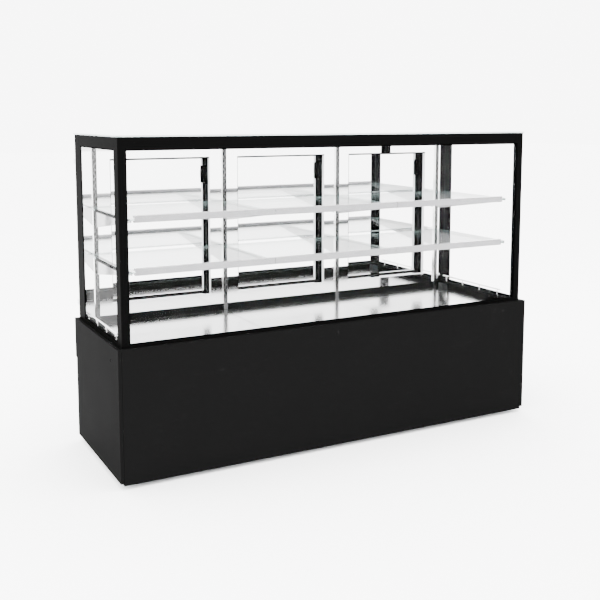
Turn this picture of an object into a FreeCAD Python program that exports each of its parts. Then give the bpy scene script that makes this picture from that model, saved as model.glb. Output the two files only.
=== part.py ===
"""Refrigerated bakery display case: a black base cabinet with a straight glass case on top.

Millimetres. X runs along the length, -Y is the customer's side, +Y the server's side, +Z up.
The origin is on the floor, under the middle of the overall box.
"""
import FreeCAD, Part
import os
import re
import Sketcher

os.makedirs("parts", exist_ok=True)
doc = FreeCAD.newDocument("bakery_display_case")

# ---------------------------------------------------------------- driving dimensions
DIMENSIONS = {
    # overall
    "overall_length": 1800, "overall_depth": 640, "y_front": "=-overall_depth/2",
    "floor_gap": 15, "base_height": 480, "case_height": 720,
    "base_top": "=floor_gap+base_height", "case_top": "=base_top+case_height",
    # base cabinet
    "base_depth": 569, "side_thick": 12, "side_lift": 9, "sheet": 2, "front_thick": 18,
    "tube": 30, "tube_inset": 22, "fascia_height": 156, "fascia_thick": 13, "ledge_thick": 3,
    "frame_lift": 3, "lock_radius": 4, "lock_from_front": 86, "lock_height": 427,
    "fixing_radius": 2.5, "fixing_from_front": 558, "fixing_height": 411,
    "foot_inset_x": 70, "foot_inset_y": 60, "foot_pad": 5, "foot_cone": 9, "foot_shoulder": 4,
    "vent_from_left": 1120, "vent_low": 60, "vent_width": 7, "vent_height": 180,
    "vent_count": 26, "vent_span": 500, "ledge_open": 10, "ledge_lap": 4,
    # working gaps
    "clearance": 1, "fit": 0.3, "shim": 0.2, "cut_play": 0.4, "rocker_play": 0.8,
    # glass case
    "case_inset": 20, "case_depth": 565, "frame_wall": 4, "post_face": 28, "post_side": 47,
    "rear_post_side": 83, "rail_height": 42, "rail_flange": 30, "bottom_rail": 10,
    "pane": 6, "joint": 0.5, "top_overhang": 4, "bottom_flange": 3,
    "lamp_inset": 35, "lamp_depth": 18, "lamp_thick": 9, "lamp_round": 3,
    # rear wall and doors
    "rear_wall": 40, "liner": 1.5, "liner_fold": 21.5, "fold_wall": 1, "opening_width": 420, "opening_pitch": 545,
    "opening_low": 50, "opening_high": 625, "door_width": 567, "door_gap": 10, "door_low": 35,
    "door_height": 600, "door_thick": 22, "door_bar": 46, "door_rim": 7, "door_seal": 5, "door_glass": 6,
    "hinge_height": 20, "hinge_radius": 5.5, "pin_radius": 2.5, "pin_play": 0.08,
    "hinge_offset": 3, "hinge_margin": 10, "wing_length": 34, "wing_thick": 4, "leaf_thick": 3, "outer_block": 7.5,
    "light_round": 2, "glass_seat": 0.6, "seal_side": 12, "seal_lap": 10, "seal_gap": 0.1,
    "catch_width": 14, "catch_depth": 14, "catch_height": 72, "catch_setback": 18, "catch_drop": 112,
    "handle_reach": 27.5, "handle_width": 16, "handle_height": 180, "handle_bar": 9,
    "handle_round": 4, "stud_radius": 6, "stud_inset": 20,
    # shelves
    "standard_pitch": 546, "standard_width": 18, "standard_depth": 8, "standard_wall": 2,
    "slot_height": 15, "slot_width": 5, "slot_pitch": 25, "slot_count": 26,
    "slot_margin": 2.5, "slot_start": 50, "shelf_glass": 8, "glass_gap": 0.8,
    "upper_shelf": 440, "lower_shelf": 255, "shelf_front": 42, "bracket_thick": 4,
    "bracket_root": 72, "bracket_tip": 6, "nose_height": 25, "nose_depth": 22, "nose_lip": 10, "glass_end": 24,
    "nose_end": 7, "nose_wall": 3, "glass_corner": 16, "nose_round": 4,
    "pad_thick": 2, "pad_lap": 3,
    # deck
    "deck_drop": 24, "tray_thick": 1.5, "tray_rim": 14, "tray_wall": 3, "tray_play": 1.5,
    "tray_round": 6, "tray_gap": 10, "deck_inset": 12, "deck_front": 6, "grille_width": 46,
    "grille_start": 20, "grille_slot": 30, "grille_slot_width": 4, "grille_count": 40,
    "rail_x": 865, "rail_z": 29, "rail_radius": 3, "rail_length": 410, "rail_from_front": 118,
    "rail_post": 2.5, "rail_from_end": 22, "rail_foot": 4.5, "rail_foot_height": 4,
    # refrigeration
    "tub_depth": 190, "tub_wall": 25, "liner_wall": 1, "fan_radius": 58, "hub_radius": 20,
    "blade_count": 5, "evap_length": 620, "evap_depth": 200, "evap_height": 60, "fin_gap": 20,
    "coil_setback": 170, "fin_thick": 0.8, "coil_tube": 5, "tube_end": 15, "coil_row_start": 30,
    "coil_row_pitch": 46, "coil_level_start": 16, "coil_level_pitch": 28, "fan_deck_height": 50,
    "fan_plate_depth": 160, "fan_plate_gap": 6, "evap_fan_x": 170, "fan_tip_gap": 3, "fan_ring": 20,
    "ring_drop": 8, "rotor_drop": 6, "motor_height": 24, "motor_drop": 32, "shaft_radius": 3,
    "shaft_length": 16, "shaft_drop": 9, "hub_height": 12, "blade_lift": 4, "blade_thick": 3,
    "blade_root": 4, "blade_half": 9, "blade_trail": 22, "blade_lead": 14, "tip_skew": 2,
    "comp_radius": 72, "comp_height": 150, "foot_radius": 20,
    "foot_stem": 6, "condenser_width": 210, "condenser_height": 170, "condenser_depth": 44,
    "suction_pipe": 5, "liquid_pipe": 3, "drier_radius": 10,
    "unit_x": 380, "unit_from_front": 300, "shell_bevel": 14, "shell_foot": 20, "shell_shoulder": 34,
    "shell_crown": 26, "shell_lift": 18, "foot_bar_length": 190, "foot_bar_depth": 150,
    "foot_bar_lift": 16, "foot_bar_thick": 3, "mount_radius": 9, "mount_x": 80, "mount_y": 60,
    "condenser_x": 640, "condenser_from_front": 200, "condenser_lift": 12, "condenser_fins": 20,
    "condenser_tube": 4.5, "condenser_tube_end": 10, "condenser_first": 18, "condenser_pitch": 33,
    "condenser_column": 12, "condenser_columns": 20, "shroud_depth": 40, "mouth_gap": 4,
    "can_radius": 26, "can_length": 34, "can_shaft": 22, "arm_thick": 4, "arm_width": 8, "arm_setback": 20,
    "suction_rise": 52, "suction_run": 620, "liquid_back": 30, "liquid_rise": 205, "liquid_run": 890,
    "drier_length": 90, "drier_lift": 90, "liquid_lift": 30, "liquid_gap": 16, "liquid_x": 650,
    # electrics
    "drain_length": 260, "drain_depth": 180, "drain_height": 22, "drain_from_front": 260,
    "cabinet_x": 60, "cabinet_length": 220, "cabinet_depth": 70, "cabinet_height": 120,
    "cabinet_round": 4, "cabinet_lift": 20, "cabinet_setback": 80, "gland_x": 760, "gland_height": 70,
    "gland_radius": 11, "gland_length": 14, "nut_radius": 15, "nut_length": 6, "cord_radius": 4,
    # controls
    "button_size": 14, "button_travel": 1.5, "button_proud": 2.5, "button_pitch": 22,
    "display_length": 80, "display_height": 34, "rocker_length": 24, "rocker_height": 14,
    "display_x": 430, "button_x": 490, "rocker_x": 600, "lens_depth": 8, "lens_proud": 1,
    "button_depth": 10, "rocker_depth": 9, "rocker_proud": 3, "button_round": 1.5, "rocker_round": 2.5,
}
sheet = doc.addObject("Spreadsheet::Sheet", "dims")
for row, (word, value) in enumerate(DIMENSIONS.items(), start=1):
    sheet.set("A%d" % row, word)
    sheet.set("B%d" % row, str(value))
    sheet.setAlias("B%d" % row, word)
doc.recompute()
WORDS = re.compile(r"\b(%s)\b" % "|".join(sorted(DIMENSIONS, key=len, reverse=True)))
AXIS_TURN = {
    "z": FreeCAD.Rotation(),
    "x": FreeCAD.Rotation(FreeCAD.Vector(0, 1, 0), 90),
    "y": FreeCAD.Rotation(FreeCAD.Vector(1, 0, 0), -90),
}
PARTS = []


# ---------------------------------------------------------------- building helpers
def bind(obj, path, text):
    """Bind one property to an expression written with the sheet's words."""
    obj.setExpression(path, WORDS.sub(r"dims.\1", str(text)))


def value(word):
    """The present number of one driving dimension."""
    return float(getattr(sheet, word))


def place(obj, at, axis="z"):
    obj.Placement = FreeCAD.Placement(FreeCAD.Vector(), AXIS_TURN[axis])
    for letter, text in zip("xyz", at):
        bind(obj, "Placement.Base." + letter, text)
    return obj


def box(label, size, at):
    obj = doc.addObject("Part::Box", label)
    for prop, text in zip(("Length", "Width", "Height"), size):
        bind(obj, prop, text)
    return place(obj, at)


def cylinder(label, radius, height, at, axis="z"):
    obj = doc.addObject("Part::Cylinder", label)
    bind(obj, "Radius", radius)
    bind(obj, "Height", height)
    return place(obj, at, axis)


def cut(label, base, tool):
    obj = doc.addObject("Part::Cut", label)
    obj.Base = base
    obj.Tool = tool
    return obj


def fuse(label, pieces):
    obj = doc.addObject("Part::MultiFuse", label)
    obj.Shapes = pieces
    return obj


def group(label, pieces):
    """Several separate solids that are one node."""
    obj = doc.addObject("Part::Compound", label)
    obj.Links = pieces
    return obj


def mirrored(label, source):
    """The same piece on the other side of the middle of the length."""
    obj = doc.addObject("Part::Mirroring", label)
    obj.Source = source
    obj.Normal = FreeCAD.Vector(1, 0, 0)
    return obj


def rounded(label, source, radius, pick):
    """A Part fillet on the edges that pick chooses."""
    doc.recompute()
    obj = doc.addObject("Part::Fillet", label)
    obj.Base = source
    edges = [i + 1 for i, edge in enumerate(source.Shape.Edges) if pick(edge)]
    obj.Edges = [(i, value(radius), value(radius)) for i in edges]
    return obj


def along(axis):
    """Chooses straight edges that run along one axis."""
    index = "xyz".index(axis)

    def pick(edge):
        if not isinstance(edge.Curve, Part.Line):
            return False
        return abs(abs(edge.Curve.Direction[index]) - 1) < 1e-6
    return pick


def origin_plane(body, role):
    return [f for f in body.Origin.OriginFeatures if f.Role == role][0]


def outline(body, name, role, points, offset="0"):
    """A closed straight-sided sketch whose corners are bound to expressions."""
    sk = body.newObject("Sketcher::SketchObject", name)
    sk.AttachmentSupport = [(origin_plane(body, role), "")]
    sk.MapMode = "FlatFace"
    bind(sk, "AttachmentOffset.Base.z", offset)
    count = len(points)
    rough = [FreeCAD.Vector(k % 3 + k, (k * 7) % 5 + k, 0) for k in range(count)]
    for k in range(count):
        sk.addGeometry(Part.LineSegment(rough[k], rough[(k + 1) % count]), False)
    for k in range(count):
        sk.addConstraint(Sketcher.Constraint("Coincident", k, 2, (k + 1) % count, 1))
    for k, corner in enumerate(points):
        for kind, text in zip(("DistanceX", "DistanceY"), corner):
            index = sk.addConstraint(Sketcher.Constraint(kind, -1, 1, k, 1, 1.0 + k))
            bind(sk, "Constraints[%d]" % index, text)
    return sk


def rectangle(x, y, width, height):
    """Corner points of a rectangle, from its low corner and its size."""
    right = "(%s)+(%s)" % (x, width)
    top = "(%s)+(%s)" % (y, height)
    return [(x, y), (right, y), (right, top), (x, top)]


def padded(label, role, points, length, at, back=False, middle=False):
    """A body with one pad. Its sketch's corner is placed at the given point."""
    body = doc.addObject("PartDesign::Body", label)
    sk = outline(body, label + "_outline", role, points)
    pad = body.newObject("PartDesign::Pad", label + "_pad")
    pad.Profile = sk
    bind(pad, "Length", length)
    pad.Reversed = back
    pad.Midplane = middle
    body.Tip = pad
    place(body, at)
    return body


def pocketed(body, name, role, points, offset="0"):
    """A pocket right through the body."""
    sk = outline(body, name + "_outline", role, points, offset)
    pocket = body.newObject("PartDesign::Pocket", name)
    pocket.Profile = sk
    pocket.Type = "ThroughAll"
    pocket.Midplane = True
    body.Tip = pocket
    return pocket


def row_of(body, feature, name, role, count, span):
    """A straight row of one feature along the body's own axis."""
    pattern = body.newObject("PartDesign::LinearPattern", name)
    pattern.Originals = [feature]
    pattern.Direction = (origin_plane(body, role), [""])
    bind(pattern, "Occurrences", count)
    bind(pattern, "Length", span)
    body.Tip = pattern
    return pattern


def softened(body, name, radius, pick):
    """A PartDesign fillet on the edges that pick chooses."""
    doc.recompute()
    base = body.Tip
    names = ["Edge%d" % (i + 1) for i, e in enumerate(base.Shape.Edges) if pick(e)]
    fillet = body.newObject("PartDesign::Fillet", name)
    fillet.Base = (base, names)
    bind(fillet, "Radius", radius)
    body.Tip = fillet
    return fillet


def keep(obj, label):
    """Register one finished piece under its own name."""
    obj.Label = label
    PARTS.append(obj)
    return obj


def sheet_tray(label, size, at, open_side):
    """A folded sheet: a face with returns on its four sides, open on one side."""
    outer = box(label + "_outer", size, at)
    inner_size = list(size)
    inner_at = list(at)
    for k in range(3):
        inner_size[k] = "(%s)-2*sheet" % size[k]
        inner_at[k] = "(%s)+sheet" % at[k]
    index = "xyz".index(open_side[1])
    inner_size[index] = size[index]
    if open_side[0] == "-":
        inner_at[index] = "(%s)-sheet" % at[index]
    return cut(label, outer, box(label + "_hollow", inner_size, inner_at))


# ---------------------------------------------------------------- base cabinet
def base_frame():
    """Welded square-tube frame that carries everything."""
    length = "overall_length-2*tube_inset"
    depth = "base_depth-2*tube_inset"
    x_low, y_low = "-overall_length/2+tube_inset", "y_front+tube_inset"
    x_high, y_high = "overall_length/2-tube_inset-tube", "y_front+base_depth-tube_inset-tube"
    z_low, z_high = "floor_gap+side_lift+frame_lift", "base_top-deck_drop-tray_rim-tube-2*frame_lift"
    z_top = "base_top-ledge_thick-joint"
    pieces = []
    for level, z in (("low", z_low), ("high", z_high)):
        for side, y in (("front", y_low), ("rear", y_high)):
            pieces.append(box("beam_%s_%s" % (level, side), (length, "tube", "tube"), (x_low, y, z)))
        for side, x in (("left", x_low), ("right", x_high)):
            pieces.append(box("cross_%s_%s" % (level, side), ("tube", depth, "tube"), (x, y_low, z)))
    for side, x in (("left", x_low), ("right", x_high)):
        for end, y in (("front", y_low), ("rear", y_high)):
            pieces.append(box("upright_%s_%s" % (end, side), ("tube", "tube", "(%s)-(%s)" % (z_top, z_low)),
                              (x, y, z_low)))
    keep(fuse("base_frame_weld", pieces), "base_frame")


def base_skins():
    front = sheet_tray("front_panel_fold",
                       ("overall_length-2*side_thick-2*clearance", "front_thick", "base_height"),
                       ("-overall_length/2+side_thick+clearance", "y_front", "floor_gap"), "+y")
    keep(front, "front_panel")
    size = ("side_thick", "base_depth", "base_height-side_lift")
    low = "floor_gap+side_lift"
    left = sheet_tray("left_side_fold", size, ("-overall_length/2", "y_front", low), "+x")
    hole = cylinder("lock_hole", "lock_radius", "side_thick",
                    ("-overall_length/2-clearance", "y_front+lock_from_front", "floor_gap+lock_height"), "x")
    fixing = cylinder("fixing_hole", "fixing_radius", "side_thick",
                      ("-overall_length/2-clearance", "y_front+fixing_from_front", "floor_gap+fixing_height"), "x")
    left_holed = cut("left_side_holed", left, fuse("side_holes", [hole, fixing]))
    keep(left_holed, "left_side_panel")
    keep(mirrored("right_side_holed", left_holed), "right_side_panel")
    keep(box("pan", ("overall_length-2*side_thick-4*clearance", "base_depth-front_thick-6*clearance", "sheet"),
             ("-overall_length/2+side_thick+2*clearance", "y_front+front_thick+clearance",
              "floor_gap+side_lift+joint")), "floor_pan")
    foot_profile()
    service_grille()


def foot_profile():
    """Six screwed levelling feet: a turned pad on a stem."""
    body = doc.addObject("PartDesign::Body", "foot_turned")
    top = "floor_gap+side_lift+joint"
    points = [("0", "0"), ("foot_radius", "0"), ("foot_radius", "foot_pad"),
              ("foot_stem+foot_shoulder", "foot_cone"), ("foot_stem", "foot_cone"),
              ("foot_stem", top), ("0", top)]
    sk = outline(body, "foot_section", "XZ_Plane", points)
    turned = body.newObject("PartDesign::Revolution", "foot_body")
    turned.Profile = sk
    turned.ReferenceAxis = (sk, ["V_Axis"])
    turned.Angle = 360
    body.Tip = turned
    feet = []
    for i, x in enumerate(("-overall_length/2+foot_inset_x", "0", "overall_length/2-foot_inset_x")):
        for j, y in enumerate(("y_front+foot_inset_y", "y_front+base_depth-foot_inset_y")):
            copy = doc.addObject("Part::Compound", "foot_%d_%d" % (i, j))
            copy.Links = [body]
            feet.append(place(copy, (x, y, "0")))
    keep(group("feet_set", feet), "levelling_feet")


def service_grille():
    """Lower rear panel, slotted so that the condenser breathes."""
    height = "base_height-fascia_height-side_lift-clearance"
    body = padded("grille_sheet", "XZ_Plane",
                  rectangle("0", "0", "overall_length-2*side_thick-2*clearance", height), "sheet",
                  ("-overall_length/2+side_thick+clearance", "y_front+base_depth-sheet-clearance",
                   "floor_gap+side_lift"), back=True)
    slot = pocketed(body, "grille_slot", "XZ_Plane",
                    rectangle("vent_from_left", "vent_low", "vent_width", "vent_height"))
    row_of(body, slot, "grille_slots", "X_Axis", "vent_count", "vent_span")
    keep(body, "rear_service_grille")


CONTROL_Z = "base_top-fascia_height/2"
FASCIA_Y = "y_front+base_depth+fit"


def control_window(label, x, wide, tall, play):
    """Opening in the fascia for one control."""
    return box(label, ("%s+2*%s" % (wide, play), "fascia_thick+2*clearance", "%s+2*%s" % (tall, play)),
               ("%s-%s/2-%s" % (x, wide, play), "y_front+base_depth-clearance",
                "%s-%s/2-%s" % (CONTROL_Z, tall, play)))


def control_block(label, x, wide, tall, deep, proud):
    """One control, standing proud of the fascia's face."""
    return box(label, (wide, deep, tall),
               ("%s-%s/2" % (x, wide), "%s+fascia_thick+%s-%s" % (FASCIA_Y, proud, deep),
                "%s-%s/2" % (CONTROL_Z, tall)))


def control_fascia():
    """Upper rear panel. It carries the controls and stands proud of the grille."""
    outer = sheet_tray("fascia_fold", ("overall_length", "fascia_thick", "fascia_height"),
                       ("-overall_length/2", FASCIA_Y, "base_top-fascia_height"), "-y")
    windows = [
        control_window("display_window", "display_x", "display_length", "display_height", "cut_play"),
        control_window("rocker_window", "rocker_x", "rocker_length", "rocker_height", "rocker_play"),
    ]
    for k, name in enumerate(("button_up", "button_down", "button_set")):
        x = "(button_x+%d*button_pitch)" % k
        windows.append(control_window(name + "_window", x, "button_size", "button_size", "cut_play"))
        block = control_block(name + "_block", x, "button_size", "button_size", "button_depth", "button_proud")
        keep(rounded(name + "_round", block, "button_round", along("y")), name)
    keep(cut("fascia_cut", outer, fuse("fascia_windows", windows)), "control_fascia")
    lens = control_block("lens_block", "display_x", "display_length", "display_height", "lens_depth",
                         "lens_proud")
    keep(lens, "display_lens")
    rocker = control_block("rocker_block", "rocker_x", "rocker_length", "rocker_height", "rocker_depth",
                           "rocker_proud")
    keep(rounded("rocker_whole", rocker, "rocker_round", along("z")), "power_switch")


# ---------------------------------------------------------------- glass case
CASE_X = "overall_length/2-case_inset"
CASE_Y = "y_front+case_inset"
REAR_Y = "y_front+case_inset+case_depth"
DOORS = 3


def angle_post(label, at_x):
    """Front corner post: an angle with a leg on the front and a leg on the end."""
    points = [("0", "0"), ("post_face", "0"), ("post_face", "frame_wall"), ("frame_wall", "frame_wall"),
              ("frame_wall", "post_side"), ("0", "post_side")]
    return padded(label, "XY_Plane", points, "case_height-rail_height-bottom_rail",
                  (at_x, CASE_Y, "base_top+bottom_rail"))


def case_frame():
    front = angle_post("front_post", "-(%s)" % CASE_X)
    rear = box("rear_post", ("frame_wall", "rear_post_side", "case_height-rail_height-bottom_rail"),
               ("-(%s)" % CASE_X, "%s-rear_post_side" % REAR_Y, "base_top+bottom_rail"))
    posts = [front, mirrored("front_post_right", front), rear, mirrored("rear_post_right", rear)]
    keep(group("posts_set", posts), "corner_posts")
    keep(frame_ring("top_ring", "case_top-rail_height", "rail_height", True), "top_frame")
    keep(frame_ring("bottom_ring", "base_top", "bottom_rail", False), "bottom_frame")


def frame_ring(label, z, height, flange_on_top):
    """A rectangular ring of angle section: an outer wall with a flange inwards."""
    outer = box(label + "_outer", ("2*(%s)" % CASE_X, "case_depth", height), ("-(%s)" % CASE_X, CASE_Y, z))
    inner = box(label + "_inner", ("2*(%s)-2*frame_wall" % CASE_X, "case_depth-2*frame_wall",
                                   "(%s)+2*clearance" % height),
                ("-(%s)+frame_wall" % CASE_X, "%s+frame_wall" % CASE_Y, "(%s)-clearance" % z))
    wall = cut(label + "_wall", outer, inner)
    flange_z = "(%s)+(%s)-frame_wall" % (z, height) if flange_on_top else z
    thick = "frame_wall" if flange_on_top else "bottom_flange"
    plate = box(label + "_plate", ("2*(%s)-2*joint" % CASE_X, "case_depth-2*joint", thick),
                ("-(%s)+joint" % CASE_X, "%s+joint" % CASE_Y, flange_z))
    gap = box(label + "_gap", ("2*(%s)-2*rail_flange" % CASE_X, "case_depth-rail_flange-rear_wall-liner",
                               "2*bottom_rail"),
              ("-(%s)+rail_flange" % CASE_X, "%s+rail_flange" % CASE_Y, "(%s)-bottom_rail" % flange_z))
    flange = cut(label + "_flange", plate, gap)
    return fuse(label + "_weld", [wall, flange])


def glazing():
    low = "base_top+bottom_flange+joint"
    tall = "case_height-frame_wall-bottom_flange-2*joint"
    inner = "(%s)-frame_wall-joint" % CASE_X
    front_y = "%s+frame_wall+joint" % CASE_Y
    keep(box("front_pane", ("2*(%s)" % inner, "pane", tall), ("-(%s)" % inner, front_y, low)), "front_glass")
    end_y = "%s+pane+joint" % front_y
    wall_y = "%s-rear_wall-liner-joint" % REAR_Y
    end_size = ("pane", "(%s)-(%s)" % (wall_y, end_y), tall)
    left = box("left_pane", end_size, ("-(%s)" % inner, end_y, low))
    keep(group("end_panes", [left, mirrored("right_pane", left)]), "end_glasses")
    keep(box("top_pane", ("2*(%s)+2*top_overhang" % CASE_X, "case_depth+2*top_overhang", "pane"),
             ("-(%s)-top_overhang" % CASE_X, "%s-top_overhang" % CASE_Y, "case_top")), "top_glass")


def rear_wall():
    """Black insulated rear frame with three door openings, lined with polished steel inside."""
    width = "2*(%s)-2*frame_wall-2*joint" % CASE_X
    x = "-(%s)+frame_wall+joint" % CASE_X
    y = "%s-rear_wall" % REAR_Y
    first = "(%s)/2-opening_pitch-opening_width/2" % width
    walls = []
    for label, thick, at_y, low, high, name in (
            ("rear_core", "rear_wall", y, "bottom_rail+joint", "case_height-rail_height-joint", "rear_frame"),
            ("rear_skin", "liner", "%s-liner" % y, "bottom_flange+joint", "case_height-frame_wall-joint",
             "rear_mirror_liner")):
        body = padded(label, "XZ_Plane", rectangle("0", "0", width, "(%s)-(%s)" % (high, low)), thick,
                      (x, at_y, "base_top+%s" % low), back=True)
        hole = rectangle(first, "opening_low-(%s)" % low, "opening_width", "opening_high-opening_low")
        opening = pocketed(body, label + "_opening", "XZ_Plane", hole)
        row_of(body, opening, label + "_openings", "X_Axis", DOORS, "%d*opening_pitch" % (DOORS - 1))
        walls.append((body, name))
    core, skin = walls
    keep(*core)
    keep(fuse("rear_skin_folded", [skin[0]] + lining_folds(y)), skin[1])


def lining_folds(y):
    """The polished lining turns back into each opening."""
    folds = []
    for index in range(DOORS):
        x = "%d*opening_pitch-opening_pitch-opening_width/2" % index
        outer = box("fold_outer_%d" % index, ("opening_width-2*seal_gap", "liner+liner_fold", "opening_high-opening_low-2*seal_gap"),
                    ("%s+seal_gap" % x, "%s-liner" % y, "base_top+opening_low+seal_gap"))
        inner = box("fold_inner_%d" % index,
                    ("opening_width-2*fold_wall", "liner+liner_fold+2*clearance", "opening_high-opening_low-2*fold_wall"),
                    ("%s+fold_wall" % x, "%s-liner-clearance" % y, "base_top+opening_low+fold_wall"))
        folds.append(cut("fold_%d" % index, outer, inner))
        lap = box("fold_lap_%d" % index, ("opening_width+2*fold_wall", "liner", "opening_high-opening_low+2*fold_wall"),
                  ("%s-fold_wall" % x, "%s-liner" % y, "base_top+opening_low-fold_wall"))
        lap_gap = box("fold_lap_gap_%d" % index,
                      ("opening_width-2*fold_wall", "liner+2*clearance", "opening_high-opening_low-2*fold_wall"),
                      ("%s+fold_wall" % x, "%s-liner-clearance" % y, "base_top+opening_low+fold_wall"))
        folds.append(cut("fold_ring_%d" % index, lap, lap_gap))
    return folds


def door_left(index):
    """Left edge of one door, counted from the left as the customer sees it."""
    return "%d*(door_width+door_gap)-1.5*door_width-door_gap" % index


DOOR_Y = "%s+door_seal+joint" % REAR_Y
DOOR_Z = "base_top+door_low"
PIN_Y = "%s+door_thick+hinge_radius" % DOOR_Y
HINGE_LEVELS = ("%s+hinge_margin" % DOOR_Z, "%s+door_height-hinge_margin-hinge_height" % DOOR_Z)


def door(index):
    number = index + 1
    x = door_left(index)
    body = padded("door_%d_bars" % number, "XZ_Plane", rectangle("0", "0", "door_width", "door_height"),
                  "door_thick", (x, DOOR_Y, DOOR_Z), back=True)
    pocketed(body, "door_%d_light" % number, "XZ_Plane",
             rectangle("door_bar", "door_bar", "door_width-2*door_bar", "door_height-2*door_bar"))
    rebate = outline(body, "door_%d_rebate_outline" % number, "XZ_Plane",
                     rectangle("door_rim", "door_rim", "door_width-2*door_rim", "door_height-2*door_rim"))
    seat = body.newObject("PartDesign::Pocket", "door_%d_rebate" % number)
    seat.Profile = rebate
    bind(seat, "Length", "door_glass+clearance")
    body.Tip = seat
    edge_room = value("clearance")
    softened(body, "door_%d_corners" % number, "light_round",
             lambda e: along("y")(e) and not edge_room < e.BoundBox.XMin < value("door_width") - edge_room)
    knuckles = []
    for level, z in enumerate(HINGE_LEVELS):
        half = "hinge_height/2-cut_play"
        barrel = cylinder("door_%d_barrel_%d" % (number, level), "hinge_radius", half,
                          ("(%s)-hinge_offset" % x, PIN_Y, z))
        wing = box("door_%d_wing_%d" % (number, level), ("wing_length", "wing_thick", half),
                   ("(%s)-hinge_offset" % x, "%s-hinge_radius-joint" % PIN_Y, z))
        bore = cylinder("door_%d_bore_%d" % (number, level), "pin_radius+pin_play", "hinge_height",
                        ("(%s)-hinge_offset" % x, PIN_Y, "(%s)-clearance" % z))
        knuckles.append(cut("door_%d_knuckle_%d" % (number, level),
                            fuse("door_%d_leaf_%d" % (number, level), [barrel, wing]), bore))
    keep(fuse("door_%d_assembly" % number, [body] + knuckles), "door_%d_frame" % number)
    inset = "(door_rim+cut_play)"
    keep(box("door_%d_pane" % number, ("door_width-2*(%s)" % inset, "door_glass", "door_height-2*(%s)" % inset),
             ("(%s)+%s" % (x, inset), "%s+glass_seat" % DOOR_Y, "%s+%s" % (DOOR_Z, inset))),
         "door_%d_mirror" % number)
    door_handle(number, x)


def door_handle(number, x):
    """A bow handle on two studs, near the free edge."""
    face = "%s+door_thick" % DOOR_Y
    mid = "%s+door_height/2" % DOOR_Z
    at_x = "(%s)+door_width-door_bar/2-handle_width/2" % x
    bar = box("handle_%d_bar" % number, ("handle_width", "handle_bar", "handle_height"),
              (at_x, "%s+handle_reach-handle_bar" % face, "%s-handle_height/2" % mid))
    bar_round = rounded("handle_%d_grip" % number, bar, "handle_round", along("z"))
    studs = [cylinder("handle_%d_stud_%d" % (number, k), "stud_radius", "handle_reach-handle_bar+2*clearance",
                      ("%s+handle_width/2" % at_x, face, "%s%shandle_height/2%sstud_inset" % (mid, s, t)), "y")
             for k, (s, t) in enumerate((("-", "+"), ("+", "-")))]
    keep(fuse("handle_%d_whole" % number, [bar_round] + studs), "door_%d_handle" % number)


def outer_bracket(tag, x, z):
    """Block beside the outermost hinge, screwed to the end of the rear wall, and its bridge to the barrel."""
    block_x = "(%s)-hinge_offset-hinge_radius-joint-outer_block" % x
    block = box("outer_block_" + tag, ("outer_block", "%s+hinge_radius-(%s)" % (PIN_Y, REAR_Y), "hinge_height"),
                (block_x, REAR_Y, z))
    bridge = box("outer_bridge_" + tag, ("outer_block+joint+hinge_radius/2", "2*hinge_radius", "hinge_height/2"),
                 (block_x, "%s-hinge_radius" % PIN_Y, "(%s)+hinge_height/2" % z))
    return [block, bridge]


def hinges():
    """Frame-side hinge leaves and their pins, one above and one below on each door."""
    pieces = []
    for index in range(DOORS):
        x = door_left(index)
        for level, z in enumerate(HINGE_LEVELS):
            tag = "%d_%d" % (index, level)
            z_up = "(%s)+hinge_height/2" % z
            barrel = cylinder("barrel_" + tag, "hinge_radius", "hinge_height/2",
                              ("(%s)-hinge_offset" % x, PIN_Y, z_up))
            pin = cylinder("pin_" + tag, "pin_radius", "hinge_height+joint+clearance",
                           ("(%s)-hinge_offset" % x, PIN_Y, "(%s)-clearance" % z))
            wing = box("wing_" + tag, ("leaf_thick", "door_seal+joint+door_thick+hinge_radius", "hinge_height/2"),
                       ("(%s)-hinge_radius" % x, REAR_Y, z_up))
            joined = [barrel, pin, wing]
            if index == 0:
                joined += outer_bracket(tag, x, z)
            pieces.append(fuse("hinge_" + tag, joined))
    keep(group("hinge_set", pieces), "hinge_brackets")


def seals_and_catches():
    """A magnetic seal round each opening and a catch block in each right-hand reveal."""
    seals, catches = [], []
    wide, tall = "opening_width+2*seal_side", "opening_high-opening_low+2*seal_lap"
    for index in range(DOORS):
        centre = "%d*opening_pitch-opening_pitch" % index
        outer = box("seal_outer_%d" % index, (wide, "door_seal", tall),
                    ("(%s)-(%s)/2" % (centre, wide), "%s+seal_gap" % REAR_Y, "base_top+opening_low-seal_lap"))
        inner = box("seal_inner_%d" % index, ("opening_width", "door_seal+2*clearance", "opening_high-opening_low"),
                    ("(%s)-opening_width/2" % centre, "%s-clearance" % REAR_Y, "base_top+opening_low+joint"))
        seals.append(cut("seal_%d" % index, outer, inner))
        catches.append(box("catch_%d" % index, ("catch_width", "catch_depth", "catch_height"),
                           ("(%s)+opening_width/2-catch_width" % centre, "%s-catch_setback" % REAR_Y,
                            "base_top+opening_high-catch_drop")))
    keep(group("seal_set", seals), "door_gaskets")
    keep(group("catch_set", catches), "door_catches")


# ---------------------------------------------------------------- shelves
STANDARD_Y = "%s-rear_wall-liner-standard_depth-joint" % REAR_Y
BAYS = 3
STANDARD_X = ["%d*standard_pitch-1.5*standard_pitch" % k for k in range(BAYS + 1)]
DECK_Z = "base_top-deck_drop"
POSTS_PER_RAIL = 4
TRAYS = 3
COIL_ROWS, COIL_LEVELS = 4, 2


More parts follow.
